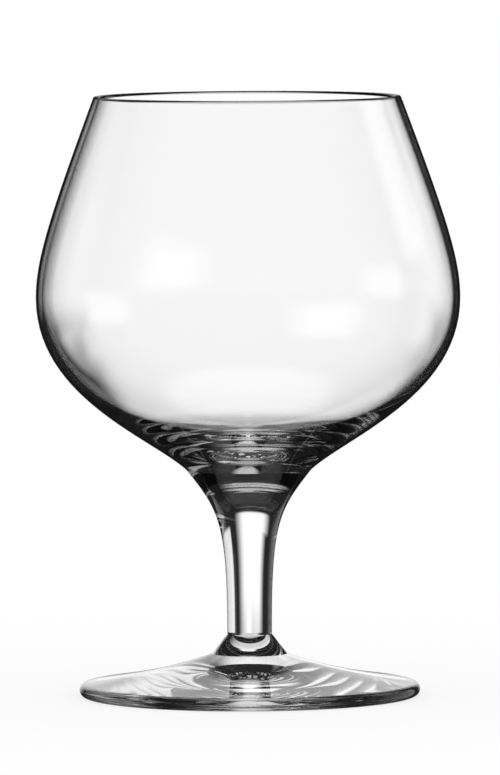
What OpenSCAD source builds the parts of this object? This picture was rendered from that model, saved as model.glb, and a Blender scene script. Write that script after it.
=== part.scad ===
// Brandy snifter: a blown bowl on a short drawn stem and a pressed foot, welded while hot.
// It stands on the ring under its foot, with its axis on Z and the table at z = 0.

/* [Bowl] */
// Outer diameter of the rim
rim_d = 65.4; // [60:0.2:72]
// Outer diameter of the bowl at its widest
belly_d = 90; // [84:0.5:100]
// Height of the bowl, from its weld to the rim
bowl_h = 79.3; // [72:0.1:95]
// Height of the widest place above the weld
belly_h = 36.5; // [32:0.5:42]
// Thickness of the wall
wall_t = 1.3; // [0.9:0.1:2]
// Thickness of the glass under the drink
base_t = 3.8; // [3:0.1:6]
// Lean of the wall at the rim, in degrees from upright
rim_lean = 20.5; // [14:0.5:28]
// Lean of the wall at the weld, in degrees from upright
base_lean = 47.5; // [40:0.5:56]

/* [Stem] */
// Length of the stem, from weld to weld
stem_h = 35; // [28:0.5:60]
// Diameter of the weld that carries the bowl
weld_d = 26.6; // [22:0.2:30]
// Diameter of the stem where it meets the foot
stem_d = 9.5; // [8:0.1:12]
// Lean of the flare at the bowl, in degrees from upright
flare_lean = 38.5; // [30:0.5:48]

/* [Foot] */
// Diameter of the foot
foot_d = 72.4; // [64:0.2:80]
// Height of the foot, from the table to the stem
foot_h = 13.2; // [12:0.1:16]
// Diameter of the boss where it spreads into the plate
boss_d = 16; // [14:0.2:20]
// Height of that place above the table
boss_foot_h = 9; // [8:0.1:10]
// Thickness of the plate at its round edge
edge_t = 2.8; // [2:0.1:3.6]
// Rise of the hollow underside at its centre
hollow_h = 1.6; // [0.4:0.1:2.4]
// Width of the flat ring that touches the table
ring_w = 1.2; // [0.6:0.1:3]

/* [Quality] */
// Straight steps along each curve
curve_steps = 14; // [8:1:24]
// Sides of a full turn
turn_sides = 96; // [48:8:160]

/* [Hidden] */

glass_color = [0.90, 0.94, 0.95, 0.55];

// Pull of each curve's ends, as shares of the height or radius that the curve covers
rim_pull_share = 0.62;
belly_up_share = 0.18;
belly_down_share = 0.57;
base_pull_share = 0.19;
inner_down_share = 0.61;
floor_reach_share = 0.4;
flare_pull_share = 0.25;
stem_pull_share = 0.68;
plate_pull_share = 0.35;
hollow_pull_share = 0.5;
// Drop of the plate's top next to the boss, over that at its edge
plate_bend_share = 1.6;

belly_r = belly_d / 2;
weld_r = weld_d / 2;
stem_r = stem_d / 2;
foot_r = foot_d / 2;
boss_r = boss_d / 2;
lip_r = wall_t / 2;
edge_r = edge_t / 2;

// Points after the start of a cubic curve, given its end points and its two pulls
function curve(from, pull_out, pull_in, to) =
    [for (i = [1 : curve_steps])
        let (t = i / curve_steps, s = 1 - t)
        s * s * s * from + 3 * s * s * t * pull_out + 3 * s * t * t * pull_in + t * t * t * to];

// Points of an arc, both ends included
function arc(centre, radius, from_angle, to_angle) =
    [for (i = [0 : curve_steps])
        let (angle = from_angle + (to_angle - from_angle) * i / curve_steps)
        centre + radius * [cos(angle), sin(angle)]];

// Unit step along a wall that leans by an angle from upright
function leaning(angle) = [sin(angle), cos(angle)];

// Solid of revolution about Z, standing at a height
module turned(height, outline) {
    translate([0, 0, height])
        rotate_extrude($fn = turn_sides)
            polygon(outline);
}

// Thin bowl with a solid base, closing in towards a round melted lip
module bowl() {
    lip_centre = [rim_d / 2 - lip_r, bowl_h - lip_r];
    lip = arc(lip_centre, lip_r, rim_lean, 180 + rim_lean);
    rim_run = (bowl_h - belly_h) * rim_pull_share;
    rim_step = [rim_run * tan(rim_lean), rim_run];
    belly = [belly_r, belly_h];
    belly_in = [belly_r - wall_t, belly_h];
    up = [0, (bowl_h - belly_h) * belly_up_share];
    down = [0, belly_h * belly_down_share];
    base_run = belly_h * base_pull_share / cos(base_lean);
    weld = [weld_r, 0];
    floor_centre = [0, base_t];
    outer_low = curve(weld, weld + base_run * leaning(base_lean), belly - down, belly);
    outer_high = curve(belly, belly + up, lip[0] + [rim_step[0], -rim_step[1]], lip[0]);
    lip_end = lip[curve_steps];
    inner_high = curve(lip_end, lip_end + [rim_step[0], -rim_step[1]], belly_in + up, belly_in);
    inner_low = curve(
        belly_in,
        belly_in - [0, (belly_h - base_t) * inner_down_share],
        floor_centre + [belly_r * floor_reach_share, 0],
        floor_centre
    );
    color(glass_color)
        turned(
            foot_h + stem_h,
            concat([[0, 0], weld], outer_low, outer_high, lip, inner_high, inner_low)
        );
}

// Short stem that flares under the bowl
module stem() {
    thin_end = [stem_r, 0];
    weld = [weld_r, stem_h];
    flare_run = stem_h * flare_pull_share / cos(flare_lean);
    side = curve(
        thin_end,
        thin_end + [0, stem_h * stem_pull_share],
        weld - flare_run * leaning(flare_lean),
        weld
    );
    color(glass_color)
        turned(foot_h, concat([[0, 0], thin_end], side, [[0, stem_h]]));
}

// Round foot: a boss under the stem, a gently sloping plate and a hollow underside
module foot() {
    edge_centre = [foot_r - edge_r, edge_r];
    ring_inner = [foot_r - edge_r - ring_w, 0];
    hollow_centre = [0, hollow_h];
    boss_top = [stem_r, foot_h];
    boss_root = [boss_r, boss_foot_h];
    plate_run = foot_r - edge_r - boss_r;
    plate_slope = (boss_foot_h - edge_t) / plate_run;
    edge_slope = atan(plate_slope / plate_bend_share);
    edge = arc(edge_centre, edge_r, -90, 90 - edge_slope);
    edge_top = edge[curve_steps];
    plate_pull = plate_run * plate_pull_share;
    plate = curve(
        edge_top,
        edge_top + plate_pull * [-1, plate_slope / plate_bend_share],
        boss_root + plate_pull * [1, -plate_slope * plate_bend_share],
        boss_root
    );
    hollow_pull = ring_inner[0] * hollow_pull_share;
    hollow = curve(
        hollow_centre,
        hollow_centre + [hollow_pull, 0],
        ring_inner - hollow_pull * [1, 0] + [0, hollow_h * hollow_pull_share],
        ring_inner
    );
    color(glass_color)
        turned(0, concat([hollow_centre], hollow, edge, plate, [boss_top, [0, foot_h]]));
}

bowl();
stem();
foot();
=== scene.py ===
# Brandy snifter in clear glass: bowl, stem and foot, each turned from a drawn profile.
import math

import bpy
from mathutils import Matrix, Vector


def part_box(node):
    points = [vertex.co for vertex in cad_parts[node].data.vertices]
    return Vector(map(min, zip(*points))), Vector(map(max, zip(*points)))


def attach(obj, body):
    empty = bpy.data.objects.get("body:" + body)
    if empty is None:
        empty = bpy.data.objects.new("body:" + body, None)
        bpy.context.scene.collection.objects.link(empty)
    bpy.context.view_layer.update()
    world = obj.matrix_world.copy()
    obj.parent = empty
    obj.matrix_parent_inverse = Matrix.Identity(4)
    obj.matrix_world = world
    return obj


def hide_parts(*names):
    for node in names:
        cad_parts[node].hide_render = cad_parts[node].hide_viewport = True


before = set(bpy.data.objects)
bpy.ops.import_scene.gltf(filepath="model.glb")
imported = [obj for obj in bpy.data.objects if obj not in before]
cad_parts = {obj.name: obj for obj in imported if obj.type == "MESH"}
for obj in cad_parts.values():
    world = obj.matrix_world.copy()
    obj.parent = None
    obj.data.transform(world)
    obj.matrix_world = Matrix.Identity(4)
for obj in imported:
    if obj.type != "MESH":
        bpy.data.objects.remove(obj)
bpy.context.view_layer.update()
print("frame loaded:", ", ".join(sorted(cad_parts)))

mm = 0.001
turnSteps = 256     # faces round each turned piece
curveSteps = 28     # faces along each curve of a profile
sharpAngle = 30     # degrees between two faces; a wider turn stays a crease
samePlace = 1e-6    # points less than this apart, in metres, become one
levelShare = 0.999  # least upright share of a level face's normal
weldReach = 0.01 * mm
weldSlot = 1        # material slot of the faces where two pieces are welded
insideSlot = 2      # and of the inner wall

bowlLow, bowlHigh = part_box("bowl")
stemLow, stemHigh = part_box("stem")
footLow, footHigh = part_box("foot")


def deselectAll():
    if bpy.context.object and bpy.context.object.mode != "OBJECT":
        bpy.ops.object.mode_set(mode="OBJECT")
    bpy.ops.object.select_all(action="DESELECT")


def stepOff(place, angle, length):  # angle in degrees from straight out, towards up
    turn = math.radians(angle)
    return (place[0] + length * math.cos(turn), place[1] + length * math.sin(turn))


def roundStops(centre, radius, angles):
    # knots of an arc through the given angles, whose outer handles are left to the curves beside it
    stops = []
    for i, angle in enumerate(angles):
        place = stepOff(centre, angle, radius)
        handles = [None, None]
        for side, near in ((0, i - 1), (1, i + 1)):
            if 0 <= near < len(angles):
                span = abs(angles[near] - angle)
                reach = radius * 4 / 3 * math.tan(math.radians(span / 4))
                handles[side] = stepOff(place, angle + math.copysign(90, angles[near] - angle), reach)
        stops.append([place, handles[0], handles[1]])
    return stops


def drawProfile(name, stops):
    # a stop is a place and its two handles, as radius and height; a missing handle makes a corner
    deselectAll()
    bpy.ops.curve.primitive_bezier_curve_add(location=(0, 0, 0))
    curve = bpy.context.object
    curve.name = name
    curve.data.resolution_u = curveSteps
    spline = curve.data.splines[0]
    spline.bezier_points.add(len(stops) - len(spline.bezier_points))
    for knot, (place, handleIn, handleOut) in zip(spline.bezier_points, stops):
        before, after = handleIn or place, handleOut or place
        knot.handle_left_type = knot.handle_right_type = "FREE"
        knot.co = (place[0], 0, place[1])
        knot.handle_left = (before[0], 0, before[1])
        knot.handle_right = (after[0], 0, after[1])
    return curve


def turnProfile(curve):
    deselectAll()
    curve.select_set(True)
    bpy.context.view_layer.objects.active = curve
    bpy.ops.object.convert(target="MESH")
    piece = bpy.context.object
    bpy.ops.object.mode_set(mode="EDIT")
    bpy.ops.mesh.select_all(action="SELECT")
    bpy.ops.mesh.remove_doubles(threshold=samePlace)
    bpy.ops.mesh.select_all(action="SELECT")
    bpy.ops.mesh.spin(steps=turnSteps, angle=math.tau, center=(0, 0, 0), axis=(0, 0, 1))
    bpy.ops.mesh.select_all(action="SELECT")
    bpy.ops.mesh.remove_doubles(threshold=samePlace)
    bpy.ops.mesh.select_all(action="SELECT")
    bpy.ops.mesh.normals_make_consistent(inside=False)
    bpy.ops.object.mode_set(mode="OBJECT")
    bpy.ops.object.shade_smooth_by_angle(angle=math.radians(sharpAngle))
    return piece


def dressPiece(piece, glasses, weldHeights):  # glasses: of the outer wall, the welds and any inner wall
    piece.data.materials.clear()
    for glass in glasses:
        piece.data.materials.append(glass)
    for face in piece.data.polygons:
        level = abs(face.normal.z) > levelShare
        atWeld = any(abs(face.center.z - height) < weldReach for height in weldHeights)
        inward = face.normal.x * face.center.x + face.normal.y * face.center.y < 0
        if level and atWeld:
            face.material_index = weldSlot
        elif inward and len(glasses) > insideSlot:
            face.material_index = insideSlot


class Wire:  # one output socket, so that shader maths reads as plain arithmetic
    def __init__(self, sheet, socket):
        self.sheet = sheet
        self.socket = socket

    def other(self, name):  # another output of the same node
        return Wire(self.sheet, self.socket.node.outputs[name])

    def maths(self, operation, *others):
        return self.sheet.node("ShaderNodeMath", {"operation": operation}, {
            i: value for i, value in enumerate((self,) + others)})

    def __add__(self, other):
        return self.maths("ADD", other)

    __radd__ = __add__

    def __mul__(self, other):
        return self.maths("MULTIPLY", other)

    __rmul__ = __mul__

    def __sub__(self, other):
        return self.maths("SUBTRACT", other)

    def __rsub__(self, other):
        return self.maths("MULTIPLY_ADD", -1, other)


class Sheet:  # the node tree of one material or of the world
    def __init__(self, owner):
        owner.use_nodes = True
        self.tree = owner.node_tree
        self.tree.nodes.clear()

    def node(self, kind, settings=None, sockets=None, output=0):
        made = self.tree.nodes.new(kind)
        for key, value in (settings or {}).items():
            if key == "stops":
                ramp = made.color_ramp
                while len(ramp.elements) < len(value):
                    ramp.elements.new(0.5)
                for stop, (position, tone) in zip(ramp.elements, value):
                    stop.position = position
                    stop.color = (tone, tone, tone, 1)
            else:
                setattr(made, key, value)
        for key, value in (sockets or {}).items():
            if isinstance(value, Wire):
                self.tree.links.new(value.socket, made.inputs[key])
            else:
                made.inputs[key].default_value = value
        return Wire(self, made.outputs[output]) if len(made.outputs) else None

    def between(self, value, start, end):  # soft rise from 0 at start to 1 at end
        return self.node("ShaderNodeMapRange", {"interpolation_type": "SMOOTHSTEP"}, {
            "Value": value, "From Min": start, "From Max": end, "To Min": 0.0, "To Max": 1.0})

    def band(self, value, low, high, soft, softHigh=None):  # 1 from low to high, with soft ends
        softHigh = softHigh or soft
        rise = self.between(value, low - soft, low + soft)
        return rise * self.between(value, high + softHigh, high - softHigh)


under, over = -5 * mm, 140 * mm     # heights below and above the whole glass

glassFinish = {
    "ior": 1.52,
    "roughness": 0.0,
    "tone": 1.0,            # colour of the clear glass, as a grey
    "paintedShadeTone": 0.01,       # colour of the painted shade mixed over the glass: a dark line where it turns edge on, and the shaded bands
}
# edge: facing (0 square on, 1 edge on) against the share of painted shade, a dark line, over the glass
# painted shades: bands of painted shade, each the least share of it, the radius outside which it holds,
# and a band of heights
# ripples: size and depth of the surface's waves, how far they are drawn out along the axis, and a band
# a band is its low end, its high end and the softness of both
# painted shade on the rim: a dark band at the top of the lip
paintedRimShade = (0.4, 0, (126.95 * mm, over, 0.15 * mm))
blownWaves = [
    (24 * mm, 0.012 * mm, 1.0, (under, over, 1 * mm)),          # hand blown wall
    (5 * mm, 0.02 * mm, 1.0, (under, 54 * mm, 3 * mm)),         # base, round the weld
]
bowlFinish = {
    "edge": [(0.60, 0.0), (0.64, 0.06), (0.69, 0.22), (0.76, 0.36), (0.80, 0.76), (0.85, 1.0)],
    "paintedShades": [paintedRimShade, (0.4, 0, (under, 53.2 * mm, 2 * mm))],     # painted shade on the rim and over the thick base
    "ripples": blownWaves,
}
insideFinish = {
    "edge": [(0.70, 0.0), (0.80, 0.12), (0.86, 0.25), (0.91, 0.6), (1.0, 0.8)],
    "paintedShades": [paintedRimShade],
    "ripples": blownWaves,
}
stemFinish = {
    "edge": [(0.86, 0.0), (0.99, 1.0)],
    "paintedShades": [(0.18, 0, (42 * mm, over, 2 * mm))],                 # painted shade on the flare
    "ripples": [
        (1.2 * mm, 0.0006 * mm, 30.0, (under, over, 1 * mm)),       # fine lines of the drawing
        (5 * mm, 0.02 * mm, 1.0, (41 * mm, over, 3 * mm)),          # flare, under the weld
    ],
}
footFinish = {
    "edge": [(0.93, 0.0), (1.0, 1.0)],
    "paintedShades": [(0.38, 34.9 * mm, (under, 2.1 * mm, 0.5 * mm))],     # painted shade on the round edge
    "ripples": [
        (14 * mm, 0.008 * mm, 1.0, (under, over, 1 * mm)),          # pressed plate
        (4 * mm, 0.012 * mm, 1.0, (8 * mm, 14 * mm, 1.5 * mm)),     # boss, round the weld
    ],
    # scuffs on the resting ring: how high they reach, and the noise values from none to full
    "wear": {"height": 0.08 * mm, "size": 0.9 * mm, "cover": (0.35, 0.6), "roughness": 0.2},
}


def clearGlass(name, finish):
    material = bpy.data.materials.new(name)
    sheet = Sheet(material)
    place = sheet.node("ShaderNodeTexCoord", None, None, "Object")
    upward = sheet.node("ShaderNodeSeparateXYZ", None, {0: place}, "Z")
    level = sheet.node("ShaderNodeCombineXYZ", None, {0: upward.other("X"), 1: upward.other("Y")})
    outward = sheet.node("ShaderNodeVectorMath", {"operation": "LENGTH"}, {0: level}, "Value")
    relief = 0.0
    for size, depth, drawn, heights in finish["ripples"]:
        spread = sheet.node("ShaderNodeMapping", None, {
            "Vector": place, "Scale": (1 / size, 1 / size, 1 / (size * drawn))})
        wave = sheet.node("ShaderNodeTexNoise", None, {
            "Vector": spread, "Scale": 1.0, "Detail": 1.0, "Roughness": 0.4})
        relief = wave * sheet.band(upward, *heights) * depth + relief
    bump = sheet.node("ShaderNodeBump", None, {"Strength": 1.0, "Distance": 1.0, "Height": relief})
    facing = sheet.node("ShaderNodeLayerWeight", None, {"Blend": 0.5}, "Facing")
    # painted shade: share of the dark surface over the glass, rising where the glass turns edge on
    edge = sheet.node("ShaderNodeValToRGB", {"stops": finish["edge"]}, {"Fac": facing})
    # and painted shade in bands of height, such as the rim and the thick base
    for share, inner, (low, high, soft) in finish["paintedShades"]:
        paintedShadeBand = sheet.band(upward, low, high, soft) * sheet.between(outward, inner - soft, inner + soft)
        edge = edge.maths("MAXIMUM", paintedShadeBand * share)
    roughness = glassFinish["roughness"]
    if "wear" in finish:
        wear = finish["wear"]
        scuffs = sheet.node("ShaderNodeTexNoise", None, {
            "Vector": place, "Scale": 1 / wear["size"], "Detail": 2.0})
        worn = sheet.between(upward, wear["height"], 0.0) * sheet.between(scuffs, *wear["cover"])
        roughness = worn * wear["roughness"] + roughness
    grey, dark = glassFinish["tone"], glassFinish["paintedShadeTone"]
    glass = sheet.node("ShaderNodeBsdfPrincipled", None, {
        "Base Color": (grey, grey, grey, 1),
        "Roughness": roughness,
        "IOR": glassFinish["ior"],
        "Transmission Weight": 1.0,
        "Normal": bump,
    })
    # dark surface mixed over the glass as painted shade
    paintedShadeSurface = sheet.node("ShaderNodeBsdfPrincipled", None, {
        "Base Color": (dark, dark, dark, 1), "Roughness": 1.0, "Specular IOR Level": 0.0})
    both = sheet.node("ShaderNodeMixShader", None, {0: edge, 1: glass, 2: paintedShadeSurface})
    sheet.node("ShaderNodeOutputMaterial", None, {"Surface": both})
    return material


def weldFace(name):  # the glass runs on through a weld, so the face between two pieces is not there to see
    material = bpy.data.materials.new(name)
    sheet = Sheet(material)
    through = sheet.node("ShaderNodeBsdfTransparent")
    sheet.node("ShaderNodeOutputMaterial", None, {"Surface": through})
    return material


bowlShape = {
    "rimRadius": 32.7 * mm,
    "wall": 1.3 * mm,
    "base": 3.8 * mm,           # glass under the drink
    "bellyHeight": 36.5 * mm,   # widest place, above the weld
    "rimLean": 20.5,            # degrees from upright
    "baseLean": 47.5,
    "rimPull": 0.62,
    "bellyUp": 0.18,
    "bellyDown": 0.57,
    "basePull": 0.19,
    "innerDown": 0.61,
    "floorReach": 0.4,
}


def makeBowl():
    shape = bowlShape
    bottom, top = bowlLow.z, bowlHigh.z
    bellyRadius, weldRadius = bowlHigh.x, stemHigh.x
    belly = bottom + shape["bellyHeight"]
    lipRadius = shape["wall"] / 2
    lean = shape["rimLean"]
    lipCentre = (shape["rimRadius"] - lipRadius, top - lipRadius)
    lip = roundStops(lipCentre, lipRadius, (lean, lean + 90, lean + 180))
    rimReach = (top - belly) * shape["rimPull"] / math.cos(math.radians(lean))
    lip[0][1] = stepOff(lip[0][0], lean - 90, rimReach)
    lip[2][2] = stepOff(lip[2][0], lean - 90, rimReach)
    baseReach = shape["bellyHeight"] * shape["basePull"] / math.cos(math.radians(shape["baseLean"]))
    weld = (weldRadius, bottom)
    inner = bellyRadius - shape["wall"]
    up = (top - belly) * shape["bellyUp"]
    down = shape["bellyHeight"] * shape["bellyDown"]
    innerDown = (shape["bellyHeight"] - shape["base"]) * shape["innerDown"]
    floor = bottom + shape["base"]
    stops = [
        [(0, bottom), None, None],
        [weld, None, stepOff(weld, 90 - shape["baseLean"], baseReach)],
        [(bellyRadius, belly), (bellyRadius, belly - down), (bellyRadius, belly + up)],
        *lip,
        [(inner, belly), (inner, belly + up), (inner, belly - innerDown)],
        [(0, floor), (bellyRadius * shape["floorReach"], floor), None],
    ]
    return turnProfile(drawProfile("bowl_glass", stops))


stemShape = {
    "thinRadius": 4.75 * mm,
    "flareLean": 38.5,      # degrees from upright
    "flarePull": 0.25,
    "thinPull": 0.68,
}


def makeStem():
    shape = stemShape
    bottom, top, weldRadius = stemLow.z, stemHigh.z, stemHigh.x
    length = top - bottom
    flareReach = length * shape["flarePull"] / math.cos(math.radians(shape["flareLean"]))
    weld = (weldRadius, top)
    thin = (shape["thinRadius"], bottom)
    stops = [
        [(0, bottom), None, None],
        [thin, None, stepOff(thin, 90, length * shape["thinPull"])],
        [weld, stepOff(weld, -90 - shape["flareLean"], flareReach), None],
        [(0, top), None, None],
    ]
    return turnProfile(drawProfile("stem_glass", stops))


footShape = {
    "edge": 2.8 * mm,       # thickness at the round edge
    "bossRadius": 8 * mm,
    "bossFoot": 9 * mm,     # height where the boss spreads into the plate
    "hollow": 1.6 * mm,     # rise of the underside at its centre
    "ring": 1.2 * mm,       # width of the flat ring on the table
    "platePull": 0.35,
    "plateBend": 1.6,
    "hollowPull": 0.5,
}


def makeFoot():
    shape = footShape
    top, radius = footHigh.z, footHigh.x
    edge = shape["edge"] / 2
    ringInner = radius - edge - shape["ring"]
    plateRun = radius - edge - shape["bossRadius"]
    slope = (shape["bossFoot"] - shape["edge"]) / plateRun
    edgeSlope = slope / shape["plateBend"]
    bossSlope = slope * shape["plateBend"]
    arc = roundStops((radius - edge, edge), edge, (-90, 0, 90 - math.degrees(math.atan(edgeSlope))))
    reach = plateRun * shape["platePull"]
    edgeTop = arc[2][0]
    arc[2][2] = (edgeTop[0] - reach, edgeTop[1] + reach * edgeSlope)
    boss = (shape["bossRadius"], shape["bossFoot"])
    hollowReach = ringInner * shape["hollowPull"]
    hollowRise = shape["hollow"] * shape["hollowPull"]
    stops = [
        [(0, shape["hollow"]), None, (hollowReach, shape["hollow"])],
        [(ringInner, 0), (ringInner - hollowReach, hollowRise), None],
        *arc,
        [boss, (boss[0] + reach, boss[1] - reach * bossSlope), None],
        [(stemShape["thinRadius"], top), None, None],
        [(0, top), None, None],
    ]
    return turnProfile(drawProfile("foot_glass", stops))


bowlGlass = clearGlass("blown glass", bowlFinish)
insideGlass = clearGlass("blown glass, inside", insideFinish)
stemGlass = clearGlass("drawn glass", stemFinish)
footGlass = clearGlass("pressed glass", footFinish)
weld = weldFace("welded through")
bowlPiece = makeBowl()
stemPiece = makeStem()
footPiece = makeFoot()
dressPiece(bowlPiece, (bowlGlass, weld, insideGlass), [bowlLow.z])
dressPiece(stemPiece, (stemGlass, weld), [stemLow.z, stemHigh.z])
dressPiece(footPiece, (footGlass, weld), [footHigh.z])
for piece, node in ((bowlPiece, "bowl"), (stemPiece, "stem"), (footPiece, "foot")):
    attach(piece, "root")
    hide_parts(node)
print("glass turned:", bowlPiece.name, stemPiece.name, footPiece.name)

studio = {
    "floorRadius": 6.0,
    "floorSides": 128,
    "floorLit": 0.25,       # share of the floor's white that comes from light, and so takes the shadow
    "bounces": 24,          # light runs to and fro inside the thick glass
    "dark": 0.02,           # tone of the room beside the light panels, as the glass shows it
    # soft light panels round the glass: tone, then the turn from straight behind and the height, in
    # degrees, each as low end, high end and the softness of both
    "panels": [
        (1.1, (-22, 14, 7, 8), (-6, 31, 3, 3)),             # large panel behind
        (1.1, (-26, 14, 9, 8), (10, 31, 2, 3)),             # its upper part, wider
        (1.08, (-4, 6.5, 1.5, 2.5), (-45, 31, 15, 3)),      # its foot, down towards the glass
        (0.9, (31, 72, 2, 14), (-25, 16, 6, 3)),            # low panel at the right
        (0.45, (54, 76, 6, 8), (12, 30, 4, 8)),             # its upper part, narrower
        (1.0, (-74, -41.5, 8, 2.5), (-34, -16, 4, 4)),      # table top, at the left behind
        (1.05, (-110, -81, 8, 6), (-15, 3, 5, 5)),          # panel at the left
        (1.05, (117, 153, 11, 11), (-29, -1, 6, 8)),        # panel at the right, in front
        (0.7, (-200, 200, 5, 5), (-100, -62, 5, 6)),        # table top under the glass
    ],
}


def makeTable():
    deselectAll()
    bpy.ops.mesh.primitive_circle_add(
        vertices=studio["floorSides"], radius=studio["floorRadius"], fill_type="NGON", location=(0, 0, 0))
    table = bpy.context.object
    table.name = "table"
    material = bpy.data.materials.new("white table")
    sheet = Sheet(material)
    lit = sheet.node("ShaderNodeBsdfDiffuse", None, {"Color": (1, 1, 1, 1)})
    glow = sheet.node("ShaderNodeEmission", None, {"Color": (1, 1, 1, 1), "Strength": 1.0})
    both = sheet.node("ShaderNodeMixShader", None, {0: studio["floorLit"], 1: glow, 2: lit})
    sheet.node("ShaderNodeOutputMaterial", None, {"Surface": both})
    table.data.materials.append(material)
    table.visible_glossy = False            # the glass shows the panels and the dark room instead
    table.visible_transmission = False


def makeWorld():
    world = bpy.data.worlds.new("studio")
    bpy.context.scene.world = world
    sheet = Sheet(world)
    direction = sheet.node("ShaderNodeTexCoord")
    across = sheet.node("ShaderNodeSeparateXYZ", None, {0: direction}, "X")
    along, upward = across.other("Y"), across.other("Z")
    turn = across.maths("ARCTAN2", along) * math.degrees(1)
    height = upward.maths("ARCSINE") * math.degrees(1)
    shown = studio["dark"]
    for tone, turns, heights in studio["panels"]:
        panel = sheet.band(turn, *turns) * sheet.band(height, *heights) * tone
        shown = panel.maths("MAXIMUM", shown)
    glossy = sheet.node("ShaderNodeLightPath", None, None, "Is Glossy Ray")
    inGlass = glossy.maths("MAXIMUM", glossy.other("Is Transmission Ray"))
    strength = 1 + inGlass * (shown - 1)    # plain white to everything but the glass
    white = sheet.node("ShaderNodeBackground", None, {"Color": (1, 1, 1, 1), "Strength": strength})
    sheet.node("ShaderNodeOutputWorld", None, {"Surface": white})


makeTable()
makeWorld()

shot = {
    "focal": 437.7,         # mm
    "sensor": 36,           # mm, along the picture's long side
    "clip": (0.1, 50),      # nearest and farthest distance that shows
    "distance": 1.995,
    "height": 0.194,
    "aimHeight": 0.0656,
    "roll": 0.28,           # degrees; the photographed axis leans a little to the left
    "aimSide": 0.00095,
}


def makeCamera():
    deselectAll()
    bpy.ops.object.camera_add(location=(0, -shot["distance"], shot["height"]))
    camera = bpy.context.object
    camera.name = "camera"
    camera.data.lens = shot["focal"]
    camera.data.sensor_width = shot["sensor"]
    camera.data.clip_start, camera.data.clip_end = shot["clip"]
    pitch = math.atan2(shot["height"] - shot["aimHeight"], shot["distance"])
    yaw = -math.atan2(shot["aimSide"], shot["distance"])
    camera.rotation_mode = "XYZ"
    camera.rotation_euler = (math.pi / 2 - pitch, math.radians(shot["roll"]), yaw)
    bpy.context.scene.camera = camera


makeCamera()
scene = bpy.context.scene
scene.view_settings.view_transform = "Standard"
for kind in ("max_bounces", "transmission_bounces", "glossy_bounces"):
    setattr(scene.cycles, kind, studio["bounces"])
print("table, studio light and camera set")
